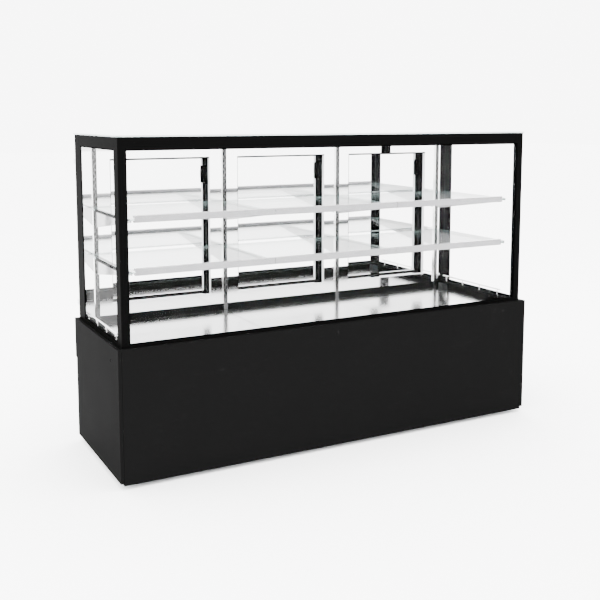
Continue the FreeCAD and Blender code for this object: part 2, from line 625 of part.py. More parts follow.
def standards():
    """Four slotted uprights of channel section."""
    pieces = []
    for k, x in enumerate(STANDARD_X):
        wide, deep, wall = "standard_width", "standard_depth", "standard_wall"
        points = [("0", "0"), (wide, "0"), (wide, deep), ("%s-%s" % (wide, wall), deep),
                  ("%s-%s" % (wide, wall), wall), (wall, wall), (wall, deep), ("0", deep)]
        body = padded("standard_%d" % k, "XY_Plane", points, "deck_drop+case_height-frame_wall-3*clearance",
                      ("(%s)-standard_width/2" % x, STANDARD_Y, DECK_Z))
        for side, x_slot, z_slot in (("a", "slot_margin", "slot_start"),
                                     ("b", "standard_width-slot_margin-slot_width", "slot_start+slot_pitch/2")):
            corners = rectangle(x_slot, z_slot, "slot_width", "slot_height")
            slot = pocketed(body, "slot_%s_%d" % (side, k), "XZ_Plane", corners)
            row_of(body, slot, "slots_%s_%d" % (side, k), "Z_Axis", "slot_count", "(slot_count-1)*slot_pitch")
        pieces.append(body)
    keep(group("standard_set", pieces), "shelf_standards")


def shelf_level(word, tag):
    """Brackets, rubber pads, glass and nosing of one shelf. word is its height above the base."""
    top = "base_top+%s" % word
    under = "%s-shelf_glass-pad_thick" % top
    front = "y_front+case_inset+shelf_front"
    brackets, pads, panes, noses = [], [], [], []
    reach = "(%s)-fit-(%s)-nose_depth" % (STANDARD_Y, front)
    for k, x in enumerate(STANDARD_X):
        shape = [("0", "-bracket_tip"), ("0", "0"), (reach, "0"), (reach, "-bracket_root")]
        brackets.append(padded("%s_bracket_%d" % (tag, k), "YZ_Plane", shape, "bracket_thick",
                               ("(%s)-bracket_thick/2" % x, "%s+nose_depth" % front, under)))
        pads.append(box("%s_pad_%d" % (tag, k), ("bracket_thick+2*pad_lap", "(%s)-4*clearance" % reach,
                                                       "pad_thick"),
                        ("(%s)-bracket_thick/2-pad_lap" % x, "%s+nose_depth+2*clearance" % front, under)))
    for k in range(BAYS):
        left = "(%s)+clearance" % STANDARD_X[k]
        right = "(%s)-clearance" % STANDARD_X[k + 1]
        glass_left = left if k else "(%s)-glass_end" % STANDARD_X[0]
        glass_right = right if k < BAYS - 1 else "(%s)+glass_end" % STANDARD_X[BAYS]
        glass_size = ("(%s)-(%s)" % (glass_right, glass_left), "(%s)-glass_gap-(%s)-nose_wall" % (STANDARD_Y, front),
                      "shelf_glass")
        blank = box("%s_blank_%d" % (tag, k), glass_size,
                    (glass_left, "%s+nose_wall" % front, "%s-shelf_glass" % top))
        panes.append(rounded("%s_pane_%d" % (tag, k), blank, "glass_corner", along("z")))
        nose_left = left if k else "(%s)+nose_end" % STANDARD_X[0]
        nose_right = right if k < BAYS - 1 else "(%s)-nose_end" % STANDARD_X[BAYS]
        bar = box("%s_bar_%d" % (tag, k), ("(%s)-(%s)" % (nose_right, nose_left), "nose_depth-fit", "nose_height"),
                  (nose_left, front, "%s+nose_lip-nose_height" % top))
        groove = box("%s_groove_%d" % (tag, k),
                     ("(%s)-(%s)+2*clearance" % (nose_right, nose_left), "nose_depth", "shelf_glass+2*fit"),
                     ("(%s)-clearance" % nose_left, "%s+nose_wall-fit" % front, "%s-shelf_glass-fit" % top))
        soft = rounded("%s_nose_%d" % (tag, k), bar, "nose_round", along("x"))
        noses.append(cut("%s_channel_%d" % (tag, k), soft, groove))
    return brackets, pads, panes, noses


def shelves():
    upper = shelf_level("upper_shelf", "upper")
    lower = shelf_level("lower_shelf", "lower")
    keep(group("brackets_set", upper[0] + lower[0]), "shelf_brackets")
    keep(group("pads_set", upper[1] + lower[1]), "bracket_pads")
    keep(group("shelf_glass_set", upper[2] + lower[2]), "shelf_glass")
    keep(group("nosing_set", upper[3] + lower[3]), "shelf_nosings")


def lamp():
    """LED batten along the inside of the top front rail."""
    batten = box("batten", ("2*(%s)-2*lamp_inset" % CASE_X, "lamp_depth", "lamp_thick"),
                 ("-(%s)+lamp_inset" % CASE_X, "%s+frame_wall+pane+2*joint+2*clearance" % CASE_Y,
                  "case_top-frame_wall-lamp_thick-clearance"))
    keep(rounded("batten_round", batten, "lamp_round", along("x")), "top_led_lamp")


# ---------------------------------------------------------------- deck and tub
TUB_X = "overall_length/2-tube_inset-tube-2*clearance"
TUB_Y = "y_front+tube_inset+tube+2*clearance"
TUB_DEEP = "base_depth-2*tube_inset-2*tube-4*clearance"


def ledge():
    """Flat black frame round the foot of the glass case, with a lip down to the deck."""
    plate = box("ledge_plate", ("overall_length-2*side_thick-4*clearance", "base_depth-front_thick-2*clearance",
                                "ledge_thick"),
                ("-overall_length/2+side_thick+2*clearance", "y_front+front_thick+clearance",
                 "base_top-ledge_thick-shim"))
    gap = box("ledge_gap", ("2*(%s)-2*rail_flange-2*ledge_open" % CASE_X,
                            "case_depth-rail_flange-rear_wall-ledge_lap", "4*ledge_open"),
              ("-(%s)+rail_flange+ledge_open" % CASE_X, "%s+rail_flange+ledge_lap" % CASE_Y,
               "base_top-2*ledge_open"))
    return cut("ledge_cut", plate, gap)


def deck():
    keep(ledge(), "base_ledge")
    inner_left = "-(%s)+rail_flange+deck_inset" % CASE_X
    inner_wide = "2*(%s)-2*rail_flange-2*deck_inset" % CASE_X
    y_low = "%s+rail_flange+deck_front" % CASE_Y
    trays = []
    tray_y = "%s+grille_width" % y_low
    tray_deep = "%s-standard_depth-tray_gap-(%s)" % (STANDARD_Y, tray_y)
    for k in range(TRAYS):
        wide = "(%s)/%d-2*tray_play" % (inner_wide, TRAYS)
        at = ("%s+%d*(%s)/%d+tray_play" % (inner_left, k, inner_wide, TRAYS), tray_y, "%s-tray_rim" % DECK_Z)
        outer = box("tray_outer_%d" % k, (wide, tray_deep, "tray_rim"), at)
        rounded_outer = rounded("tray_soft_%d" % k, outer, "tray_round", along("z"))
        hollow = box("tray_hollow_%d" % k, ("(%s)-2*tray_wall" % wide, "(%s)-2*tray_wall" % tray_deep, "tray_rim"),
                     ("%s+tray_wall" % at[0], "%s+tray_wall" % at[1], "(%s)-tray_thick" % at[2]))
        trays.append(cut("tray_%d" % k, rounded_outer, hollow))
    keep(group("tray_set", trays), "deck_trays")
    deck_grilles(inner_left, inner_wide, y_low, "%s+%s+2*clearance" % (tray_y, tray_deep))
    guard_rails()


def guard_rails():
    """A bright rod inside each end pane, which stops trays sliding against the glass."""
    y = "y_front+rail_from_front"
    pieces = [cylinder("rail_rod", "rail_radius", "rail_length", ("-rail_x", y, "base_top+rail_z"), "y")]
    low = "base_top+bottom_flange"
    for k in range(POSTS_PER_RAIL):
        post_y = "%s+rail_from_end+%d*(rail_length-2*rail_from_end)/%d" % (y, k, POSTS_PER_RAIL - 1)
        pieces.append(cylinder("rail_post_%d" % k, "rail_post", "rail_z-bottom_flange", ("-rail_x", post_y, low)))
        pieces.append(cylinder("rail_foot_%d" % k, "rail_foot", "rail_foot_height", ("-rail_x", post_y, low)))
    left = fuse("rail_left", pieces)
    keep(group("rail_set", [left, mirrored("rail_right", left)]), "end_guard_rails")


def deck_grilles(x, wide, y_front_strip, y_rear_strip):
    """Slotted strips: air returns at the front and is blown up at the rear."""
    pieces = []
    for name, y, deep in (("return", y_front_strip, "grille_width-2*clearance"),
                          ("discharge", y_rear_strip, "standard_depth+4*clearance")):
        body = padded("%s_strip" % name, "XY_Plane", rectangle("0", "0", wide, deep), "sheet",
                      (x, y, "%s-sheet" % DECK_Z))
        slot = pocketed(body, "%s_slot" % name, "XY_Plane", 
                        rectangle("grille_start", "(%s)/2-grille_slot_width/2" % deep, "grille_slot",
                                  "grille_slot_width"))
        row_of(body, slot, "%s_slots" % name, "X_Axis", "grille_count",
               "(%s)-grille_slot-2*grille_start" % wide)
        pieces.append(body)
    keep(group("grille_set", pieces), "deck_grilles")


def tub():
    """Foamed tub with a steel liner, which holds the evaporator and its fans."""
    z = "%s-tub_depth" % DECK_Z
    outer = box("tub_outer", ("2*(%s)" % TUB_X, TUB_DEEP, "tub_depth-tray_rim-2*frame_lift"),
                ("-(%s)" % TUB_X, TUB_Y, z))
    hollow = box("tub_hollow", ("2*(%s)-2*tub_wall" % TUB_X, "(%s)-2*tub_wall" % TUB_DEEP, "tub_depth"),
                 ("-(%s)+tub_wall" % TUB_X, "%s+tub_wall" % TUB_Y, "%s+tub_wall" % z))
    keep(cut("tub_foam", outer, hollow), "insulated_tub")
    in_x, in_y, in_z = "(%s)-tub_wall-shim" % TUB_X, "%s+tub_wall+shim" % TUB_Y, "%s+tub_wall+shim" % z
    in_deep = "(%s)-2*tub_wall-2*shim" % TUB_DEEP
    skin = box("liner_outer", ("2*(%s)" % in_x, in_deep, "tub_depth-tub_wall-tray_rim-2*frame_lift-2*shim"),
               ("-(%s)" % in_x, in_y, in_z))
    void = box("liner_void", ("2*(%s)-2*liner_wall" % in_x, "(%s)-2*liner_wall" % in_deep, "tub_depth"),
               ("-(%s)+liner_wall" % in_x, "%s+liner_wall" % in_y, "%s+liner_wall" % in_z))
    keep(cut("liner_sheet", skin, void), "tub_liner")
    evaporator("%s+2*clearance" % in_z)


def evaporator(z):
    """Finned coil at the rear of the tub with two fans blowing through a deck plate."""
    coil_y = "%s+tub_wall+coil_setback" % TUB_Y
    fins = []
    count = int(value("evap_length") / value("fin_gap"))
    for k in range(count + 1):
        fins.append(box("evap_fin_%d" % k, ("fin_thick", "evap_depth", "evap_height"),
                        ("-evap_length/2+%d*fin_gap" % k, coil_y, z)))
    for j in range(COIL_ROWS):
        for i in range(COIL_LEVELS):
            fins.append(cylinder("evap_tube_%d_%d" % (j, i), "coil_tube", "evap_length+2*tube_end",
                                 ("-evap_length/2-tube_end", "%s+coil_row_start+%d*coil_row_pitch" % (coil_y, j),
                                  "%s+coil_level_start+%d*coil_level_pitch" % (z, i)), "x"))
    keep(fuse("evap_block", fins), "evaporator_coil")
    deck_z = "%s+fan_deck_height" % z
    plate = box("fan_plate", ("evap_length", "fan_plate_depth", "sheet"),
                ("-evap_length/2", "%s+tub_wall+fan_plate_gap" % TUB_Y, deck_z))
    fan_y = "%s+tub_wall+fan_plate_gap+fan_plate_depth/2" % TUB_Y
    motors, rings = [], []
    for side, x in (("left", "-evap_fan_x"), ("right", "evap_fan_x")):
        rings.append(cylinder("fan_ring_" + side, "fan_radius+fan_tip_gap", "fan_ring",
                              (x, fan_y, "%s-ring_drop" % deck_z)))
        rotor(side_name="evap_fan_rotor_" + side, at=(x, fan_y, "%s-rotor_drop" % deck_z), axis="z")
        motor = cylinder("evap_motor_" + side, "hub_radius", "motor_height",
                         (x, fan_y, "%s-motor_drop" % deck_z))
        shaft = cylinder("evap_shaft_" + side, "shaft_radius", "shaft_length",
                         (x, fan_y, "%s-shaft_drop" % deck_z))
        motors.append(fuse("evap_drive_" + side, [motor, shaft]))
    keep(cut("fan_plate_cut", plate, fuse("fan_rings", rings)), "fan_deck")
    keep(group("evap_motor_set", motors), "evap_fan_motors")


def rotor(side_name, at, axis):
    """Axial fan: a hub with blades patterned round it."""
    body = doc.addObject("PartDesign::Body", side_name + "_body")
    ring = outline(body, side_name + "_section", "XZ_Plane",
                   rectangle("shaft_radius+pin_play", "0", "hub_radius-shaft_radius-pin_play-2*clearance",
                             "hub_height"))
    hub = body.newObject("PartDesign::Revolution", side_name + "_hub")
    hub.Profile = ring
    hub.ReferenceAxis = (ring, ["V_Axis"])
    hub.Angle = 360
    body.Tip = hub
    doc.recompute()
    blade_points = [("hub_radius-blade_root", "-blade_half"), ("fan_radius-2*clearance-tip_skew", "-blade_trail"),
                    ("fan_radius-2*clearance", "blade_lead"), ("hub_radius-blade_root", "blade_half")]
    flat = outline(body, side_name + "_blade_outline", "XY_Plane", blade_points, "blade_lift")
    blade = body.newObject("PartDesign::Pad", side_name + "_blade")
    blade.Profile = flat
    bind(blade, "Length", "blade_thick")
    body.Tip = blade
    ring_of = body.newObject("PartDesign::PolarPattern", side_name + "_blades")
    ring_of.Originals = [blade]
    ring_of.Axis = (origin_plane(body, "Z_Axis"), [""])
    ring_of.Angle = 360
    bind(ring_of, "Occurrences", "blade_count")
    body.Tip = ring_of
    place(body, at, axis)
    keep(body, side_name)


# ---------------------------------------------------------------- machine compartment
UNIT_Y = "y_front+unit_from_front"
CONDENSER_LEVELS, CONDENSER_COLUMNS = 5, 2
PAN_Z = "floor_gap+side_lift+joint+sheet"


def compressor_unit():
    body = doc.addObject("PartDesign::Body", "compressor_shell")
    points = [("0", "0"), ("comp_radius-shell_bevel", "0"), ("comp_radius", "shell_foot"),
              ("comp_radius", "comp_height-shell_shoulder"), ("comp_radius-shell_crown", "comp_height"),
              ("0", "comp_height")]
    sk = outline(body, "compressor_section", "XZ_Plane", points)
    shell = body.newObject("PartDesign::Revolution", "compressor_turned")
    shell.Profile = sk
    shell.ReferenceAxis = (sk, ["V_Axis"])
    shell.Angle = 360
    body.Tip = shell
    place(body, ("unit_x", UNIT_Y, "%s+shell_lift" % PAN_Z))
    foot_bar = box("compressor_foot_bar", ("foot_bar_length", "foot_bar_depth", "foot_bar_thick"),
                   ("unit_x-foot_bar_length/2", "%s-foot_bar_depth/2" % UNIT_Y, "%s+foot_bar_lift" % PAN_Z))
    keep(fuse("compressor_whole", [body, foot_bar]), "compressor")
    mounts = [cylinder("mount_%s%s" % (i, j), "mount_radius", "foot_bar_lift-fit",
                       ("unit_x%smount_x" % i, "%s%smount_y" % (UNIT_Y, j), PAN_Z))
              for i in "-+" for j in "-+"]
    keep(group("mount_set", mounts), "compressor_mounts")
    condenser()
    pipes()


def condenser():
    x = "condenser_x"
    y = "y_front+condenser_from_front"
    z = "%s+condenser_lift" % PAN_Z
    fin_count = int(value("condenser_fins"))
    pieces = [box("condenser_fin_%d" % k, ("condenser_depth", "fin_thick", "condenser_height"),
                  (x, "%s+%d*condenser_width/condenser_fins" % (y, k), z)) for k in range(fin_count + 1)]
    for i in range(CONDENSER_LEVELS):
        for j in range(CONDENSER_COLUMNS):
            pieces.append(cylinder("condenser_tube_%d%d" % (i, j), "condenser_tube",
                                   "condenser_width+2*condenser_tube_end",
                                   ("%s+condenser_column+%d*condenser_columns" % (x, j),
                                    "%s-condenser_tube_end" % y,
                                    "%s+condenser_first+%d*condenser_pitch" % (z, i)), "y"))
    keep(fuse("condenser_block", pieces), "condenser_coil")
    condenser_fan("%s-shroud_depth-2*clearance" % x, y, z)


def condenser_fan(x, y, z):
    """Shroud, rotor and motor in front of the condenser."""
    plate = box("shroud_outer", ("shroud_depth", "condenser_width", "condenser_height"), (x, y, z))
    hollow = box("shroud_hollow", ("shroud_depth", "condenser_width-2*sheet", "condenser_height-2*sheet"),
                 ("%s+sheet" % x, "%s+sheet" % y, "%s+sheet" % z))
    fan_y, fan_z = "%s+condenser_width/2" % y, "%s+condenser_height/2" % z
    mouth = cylinder("shroud_mouth", "fan_radius+mouth_gap", "2*mouth_gap+sheet",
                     ("%s-mouth_gap" % x, fan_y, fan_z), "x")
    keep(cut("shroud_cut", plate, fuse("shroud_tools", [hollow, mouth])), "condenser_shroud")
    rotor("condenser_fan_rotor", ("%s+2*mouth_gap" % x, fan_y, fan_z), "x")
    can = cylinder("condenser_motor_can", "can_radius", "can_length", ("%s-can_length" % x, fan_y, fan_z), "x")
    shaft = cylinder("condenser_motor_shaft", "shaft_radius", "can_shaft", ("%s-2*clearance" % x, fan_y, fan_z), "x")
    arm = box("condenser_motor_arm", ("arm_thick", "arm_width", "condenser_height/2"),
              ("%s-arm_setback" % x, "%s-arm_width/2" % fan_y, z))
    keep(fuse("condenser_drive", [can, shaft, arm]), "condenser_fan_motor")


def pipe_run(tag, radius, start, legs):
    """A pipe of straight legs with ball elbows. Each leg is an axis and a signed word."""
    pieces = []
    at = list(start)
    for k, (axis, length) in enumerate(legs):
        index = "xyz".index(axis)
        low = list(at)
        sign, size = length[0], length[1:]
        if sign == "-":
            low[index] = "(%s)-%s" % (at[index], size)
        pieces.append(cylinder("%s_leg_%d" % (tag, k), radius, size, low, axis))
        at[index] = "(%s)%s%s" % (at[index], sign, size)
        ball = doc.addObject("Part::Sphere", "%s_elbow_%d" % (tag, k))
        bind(ball, "Radius", radius)
        pieces.append(place(ball, at))
    return pieces


def pipes():
    """Suction and liquid lines under the tub, with a drier in the liquid line."""
    top = "%s+shell_lift+comp_height" % PAN_Z
    suction = pipe_run("suction", "suction_pipe", ("unit_x", "%s+liquid_lift" % UNIT_Y, top),
                       [("z", "+suction_rise"), ("x", "-suction_run")])
    outlet_y = "y_front+condenser_from_front-liquid_gap"
    liquid = pipe_run("liquid", "liquid_pipe", ("liquid_x", outlet_y, "%s+liquid_lift" % PAN_Z),
                      [("y", "-liquid_back"), ("z", "+liquid_rise"), ("x", "-liquid_run")])
    drier = cylinder("drier", "drier_radius", "drier_length",
                     ("liquid_x", "%s-liquid_back" % outlet_y, "%s+drier_lift" % PAN_Z))
    keep(group("pipe_set", [fuse("suction_line", suction), fuse("liquid_line", liquid + [drier])]),
         "refrigerant_pipes")


def electrics():
    tray = sheet_tray("tray_fold", ("drain_length", "drain_depth", "drain_height"),
                      ("-drain_length", "y_front+drain_from_front", PAN_Z), "+z")
    keep(tray, "condensate_tray")
    case = box("control_box_case", ("cabinet_length", "cabinet_depth", "cabinet_height"),
               ("cabinet_x", "y_front+base_depth-tube_inset-tube-cabinet_setback", "%s+cabinet_lift" % PAN_Z))
    keep(rounded("control_box_round", case, "cabinet_round", along("z")), "electrical_box")
    gland_y = "y_front+base_depth-clearance"
    gland_z = "floor_gap+gland_height"
    barrel = cylinder("gland_barrel", "gland_radius", "gland_length", ("-gland_x", gland_y, gland_z), "y")
    nut = cylinder("gland_nut", "nut_radius", "nut_length", ("-gland_x", gland_y, gland_z), "y")
    bore = cylinder("gland_bore", "cord_radius", "2*gland_length",
                    ("-gland_x", "%s+cord_radius" % gland_y, gland_z), "y")
    keep(cut("gland_bored", fuse("gland_solid", [barrel, nut]), bore), "power_gland")


# ---------------------------------------------------------------- build, check, write
base_frame()
base_skins()
control_fascia()
case_frame()
glazing()
rear_wall()
for door_index in range(DOORS):
    door(door_index)
hinges()
seals_and_catches()
standards()
shelves()
lamp()
deck()
tub()
compressor_unit()
electrics()
doc.recompute()

for obj in doc.Objects:
    if "Invalid" in obj.State or "Error" in obj.State:
        raise SystemExit("failed: %s %s %s" % (obj.Name, obj.State, obj.getStatusString()))
for obj in PARTS:
    if obj.Shape.isNull() or not obj.Shape.isValid() or not obj.Shape.Solids:
        raise SystemExit("bad shape: " + obj.Label)
for obj in PARTS:
    obj.Shape.exportStep("parts/%s.step" % obj.Label)
print(len(PARTS), "nodes")
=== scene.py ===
"""Looks of the refrigerated bakery display case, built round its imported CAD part."""

import math

import bmesh
import bpy
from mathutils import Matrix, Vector


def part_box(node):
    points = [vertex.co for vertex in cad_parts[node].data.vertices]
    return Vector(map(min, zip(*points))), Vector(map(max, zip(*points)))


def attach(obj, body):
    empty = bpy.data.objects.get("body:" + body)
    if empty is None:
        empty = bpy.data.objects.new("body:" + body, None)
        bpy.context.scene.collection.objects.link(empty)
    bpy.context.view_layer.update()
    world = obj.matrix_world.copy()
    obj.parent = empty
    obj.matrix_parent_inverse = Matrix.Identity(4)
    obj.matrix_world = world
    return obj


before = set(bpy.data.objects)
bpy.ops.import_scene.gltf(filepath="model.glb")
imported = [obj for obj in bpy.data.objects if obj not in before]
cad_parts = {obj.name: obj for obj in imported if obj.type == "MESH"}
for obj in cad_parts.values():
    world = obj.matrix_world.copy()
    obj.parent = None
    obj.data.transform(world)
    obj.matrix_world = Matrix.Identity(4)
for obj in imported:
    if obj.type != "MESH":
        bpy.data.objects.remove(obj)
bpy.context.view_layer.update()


# ------------------------------------------------------------ the case's main lines, in metres
WALL_FRONT = 0.2235     # polished lining of the rear wall
PANE_LOW, PANE_HIGH = 0.505, 1.173
FRONT_PANE_SEAT = -0.2958
END_PANE_SEAT = 0.8758
OPENINGS = (-0.545, 0.0, 0.545)
OPENING_HALF = 0.210
OPENING_LOW, OPENING_HIGH = 0.545, 1.120
OPENING_SHEET_END = 0.2465   # where the folded lining stops inside an opening
FOLD = 0.0011           # sheet of the lining that turns back into each opening
STANDARDS = (-0.819, -0.273, 0.273, 0.819)
CATCH_WIDTH = 0.014
LOCK_SPOT = (-0.234, 0.442)  # y and z of the lock in each side panel
FASCIA_REAR = 0.2623         # rear face of the control panel
GRILLE_REAR = 0.2480         # rear face of the service grille


# ------------------------------------------------------------ materials
class Shader:
    """A small builder for one material's node tree."""

    def __init__(self, name):
        self.mat = bpy.data.materials.new(name)
        self.mat.use_nodes = True
        self.tree = self.mat.node_tree
        self.bsdf = self.tree.nodes["Principled BSDF"]

    def node(self, kind, **values):
        made = self.tree.nodes.new(kind)
        for key, value in values.items():
            if hasattr(made, key):
                setattr(made, key, value)
            else:
                made.inputs[key.replace("_", " ")].default_value = value
        return made

    def link(self, a, out, b, inp):
        self.tree.links.new(a.outputs[out], b.inputs[inp])

    def set(self, **values):
        for key, value in values.items():
            self.bsdf.inputs[key.replace("_", " ")].default_value = value
        return self


def grey(level, alpha=1.0):
    return (level, level, level, alpha)


def solid(name, colour, rough, metal=0.0, grain=0.0, grain_size=600.0, rough_spread=0.0, coat=0.0,
          shine=0.5):
    """A plain surface with a fine procedural grain and a slight change of roughness."""
    sh = Shader(name)
    sh.set(Base_Color=colour, Roughness=rough, Metallic=metal)
    sh.bsdf.inputs["Specular IOR Level"].default_value = shine
    sh.bsdf.inputs["Coat Weight"].default_value = coat
    sh.bsdf.inputs["Coat Roughness"].default_value = 0.1
    where = sh.node("ShaderNodeTexCoord")
    if grain:
        noise = sh.node("ShaderNodeTexNoise", Scale=grain_size, Detail=2.0)
        bump = sh.node("ShaderNodeBump", Strength=grain, Distance=0.0004)
        sh.link(where, "Object", noise, "Vector")
        sh.link(noise, "Fac", bump, "Height")
        sh.link(bump, "Normal", sh.bsdf, "Normal")
    if rough_spread:
        cloud = sh.node("ShaderNodeTexNoise", Scale=7.0, Detail=3.0)
        span = sh.node("ShaderNodeMapRange")
        span.inputs["To Min"].default_value = rough - rough_spread
        span.inputs["To Max"].default_value = rough + rough_spread
        sh.link(where, "Object", cloud, "Vector")
        sh.link(cloud, "Fac", span, "Value")
        sh.link(span, "Result", sh.bsdf, "Roughness")
    return sh.mat


def brushed(name, colour, rough, stretch=(2.0, 90.0, 90.0), depth=0.12):
    """Metal with fine parallel brushing along its long direction."""
    sh = Shader(name)
    sh.set(Base_Color=colour, Roughness=rough, Metallic=1.0)
    where = sh.node("ShaderNodeTexCoord")
    scale = sh.node("ShaderNodeMapping")
    scale.inputs["Scale"].default_value = stretch
    noise = sh.node("ShaderNodeTexNoise", Scale=14.0, Detail=3.0)
    bump = sh.node("ShaderNodeBump", Strength=depth, Distance=0.0004)
    sh.link(where, "Object", scale, "Vector")
    sh.link(scale, "Vector", noise, "Vector")
    sh.link(noise, "Fac", bump, "Height")
    sh.link(bump, "Normal", sh.bsdf, "Normal")
    return sh.mat


def glass(name, tint, mirror_share, broad, rim=(0.20, 0.27, 0.26, 1), rim_share=0.5):
    """Clear pane: see-through, with a faint reflection that grows at a glancing angle.
    broad is the axis its large faces look along; the narrow edges are darker and greener."""
    sh = Shader(name)
    tree = sh.tree
    out = [n for n in tree.nodes if n.type == "OUTPUT_MATERIAL"][0]
    sh.set(Base_Color=rim, Roughness=0.15)
    clear = sh.node("ShaderNodeBsdfTransparent")
    clear.inputs["Color"].default_value = tint
    shine = sh.node("ShaderNodeBsdfGlossy")
    shine.inputs["Roughness"].default_value = 0.0
    shine.inputs["Color"].default_value = grey(1.0)
    facing = sh.node("ShaderNodeLayerWeight", Blend=0.5)
    rise = sh.node("ShaderNodeMath", operation="POWER")
    rise.inputs[1].default_value = 5.0
    share = sh.node("ShaderNodeMath", operation="MULTIPLY_ADD")
    share.inputs[1].default_value = 0.96 * mirror_share
    share.inputs[2].default_value = 0.04 * mirror_share
    mix = sh.node("ShaderNodeMixShader")
    sh.link(facing, "Facing", rise, 0)
    sh.link(rise, "Value", share, 0)
    sh.link(share, "Value", mix, "Fac")
    sh.link(clear, "BSDF", mix, 1)
    sh.link(shine, "BSDF", mix, 2)
    surface = sh.node("ShaderNodeNewGeometry")
    split = sh.node("ShaderNodeSeparateXYZ")
    size = sh.node("ShaderNodeMath", operation="ABSOLUTE")
    narrow = sh.node("ShaderNodeMath", operation="LESS_THAN")
    narrow.inputs[1].default_value = 0.7
    part = sh.node("ShaderNodeMath", operation="MULTIPLY")
    part.inputs[1].default_value = rim_share
    both = sh.node("ShaderNodeMixShader")
    sh.link(surface, "True Normal", split, "Vector")
    sh.link(split, broad, size, 0)
    sh.link(size, "Value", narrow, 0)
    sh.link(narrow, "Value", part, 0)
    sh.link(part, "Value", both, "Fac")
    sh.link(mix, "Shader", both, 1)
    sh.link(sh.bsdf, "BSDF", both, 2)
    sh.link(both, "Shader", out, "Surface")
    return sh.mat


def facing_painted_shade(name, front, sides, rough):
    """Polished metal that is darker on the faces that look along Y than on its sides: the base colour carries
    painted shade on those faces and a painted highlight on the sides.
    """
    sh = Shader(name)
    sh.set(Metallic=1.0, Roughness=rough)
    surface = sh.node("ShaderNodeNewGeometry")
    split = sh.node("ShaderNodeSeparateXYZ")
    size = sh.node("ShaderNodeMath", operation="ABSOLUTE")
    turn = sh.node("ShaderNodeMapRange")
    turn.inputs["To Min"].default_value = sides
    turn.inputs["To Max"].default_value = front
    sh.link(surface, "True Normal", split, "Vector")
    sh.link(split, "Y", size, 0)
    sh.link(size, "Value", turn, "Value")
    # base colour follows the face's direction: painted shade on faces along Y, painted highlight on the sides
    sh.link(turn, "Result", sh.bsdf, "Base Color")
    return sh.mat


def mirror(name, level, rough=0.01):
    sh = Shader(name)
    sh.set(Base_Color=grey(level), Metallic=1.0, Roughness=rough)
    return sh.mat


def glow(name, colour, strength):
    sh = Shader(name)
    sh.set(Base_Color=colour, Roughness=0.4)
    sh.bsdf.inputs["Emission Color"].default_value = colour
    sh.bsdf.inputs["Emission Strength"].default_value = strength
    return sh.mat


M = {
    "panel": solid("black powder coat on panels", grey(0.0029), 0.42, grain=0.10, rough_spread=0.04,
                   shine=0.0006),
    "frame": solid("black powder coat on frame", grey(0.0014), 0.36, grain=0.06, rough_spread=0.03,
                   shine=0.0007),
    "inner": solid("black lining", grey(0.0006), 0.5, shine=0.0004),
    "anodised": solid("black anodised bars", grey(0.004), 0.32, grain=0.05, shine=0.06),
    "rubber": solid("black rubber", grey(0.005), 0.75, grain=0.2, shine=0.1),
    "plastic": solid("black plastic", grey(0.008), 0.5, grain=0.1, shine=0.15),
    "fan": solid("fan plastic", grey(0.05), 0.45),
    "foam": solid("foam skin", (0.72, 0.66, 0.45, 1), 0.8, grain=0.4, grain_size=120),
    "galvanised": solid("galvanised sheet", (0.45, 0.47, 0.49, 1), 0.38, metal=1.0, grain=0.1, grain_size=60),
    "steel": brushed("brushed stainless", (0.62, 0.63, 0.64, 1), 0.26),
    "deck": brushed("bright deck steel", (0.80, 0.80, 0.80, 1), 0.16, depth=0.05),
    "fins": solid("fin aluminium", (0.75, 0.77, 0.79, 1), 0.35, metal=1.0),
    "copper": solid("copper tube", (0.72, 0.36, 0.2, 1), 0.28, metal=1.0, grain=0.1),
    "shell": solid("compressor enamel", grey(0.02), 0.2, coat=0.5),
    # the uprights' plate: painted shade on the faces along Y, painted highlight on the sides
    "chrome_painted_shade": facing_painted_shade("plate with painted facing shade", 0.075, 0.95, 0.2),
    "rod": solid("polished rod", grey(0.85), 0.15, metal=1.0, grain=0.02),
    "shelf": solid("light grey enamel", (0.13, 0.13, 0.135, 1), 0.3, grain=0.05, coat=1.0),
    "front": glass("front pane", grey(0.995), 0.04, "Y"),
    "ends": glass("end pane", grey(0.99), 0.06, "X", rim=(0.02, 0.026, 0.025, 1)),
    "top": glass("top pane", grey(0.99), 1.0, "Z", rim_share=0.35),
    "shelfglass": glass("shelf pane", (0.95, 0.96, 0.96, 1), 0.8, "Z"),
    "liner": mirror("polished lining", 0.93, 0.02),
    "mirror": mirror("mirror pane", 0.93, 0.0),
    "lamp": glow("lamp diffuser", (1, 1, 1, 1), 1.2),
    "display": solid("dark display lens", (0.004, 0.001, 0.001, 1), 0.15, shine=0.05),
    "button": solid("grey button", grey(0.035), 0.45, grain=0.1, shine=0.2),
    # this dark colour is black rubber on the glazing gaskets and seals, and painted shade on the opening
    # heads and the shelf ends
    "rubber_and_painted_shade": solid("glazing gasket", grey(0.0004), 0.6, grain=0.1, shine=0.0004),
    "shade": solid("shaded hollow", grey(0.0015), 0.8, shine=0.001),
    # pale colour of the opening strips: partly real sill edging, partly painted highlight
    "trim_and_highlight": solid("bright edge trim", (0.85, 0.85, 0.86, 1), 0.5, grain=0.03),
    "mark": solid("pale printed mark", grey(0.6), 0.5, grain=0.1),
    "digits": glow("lit digits", (1.0, 0.10, 0.05, 1), 3.0),
    "screw": solid("blackened screw", grey(0.03), 0.3, metal=1.0, grain=0.1),
}
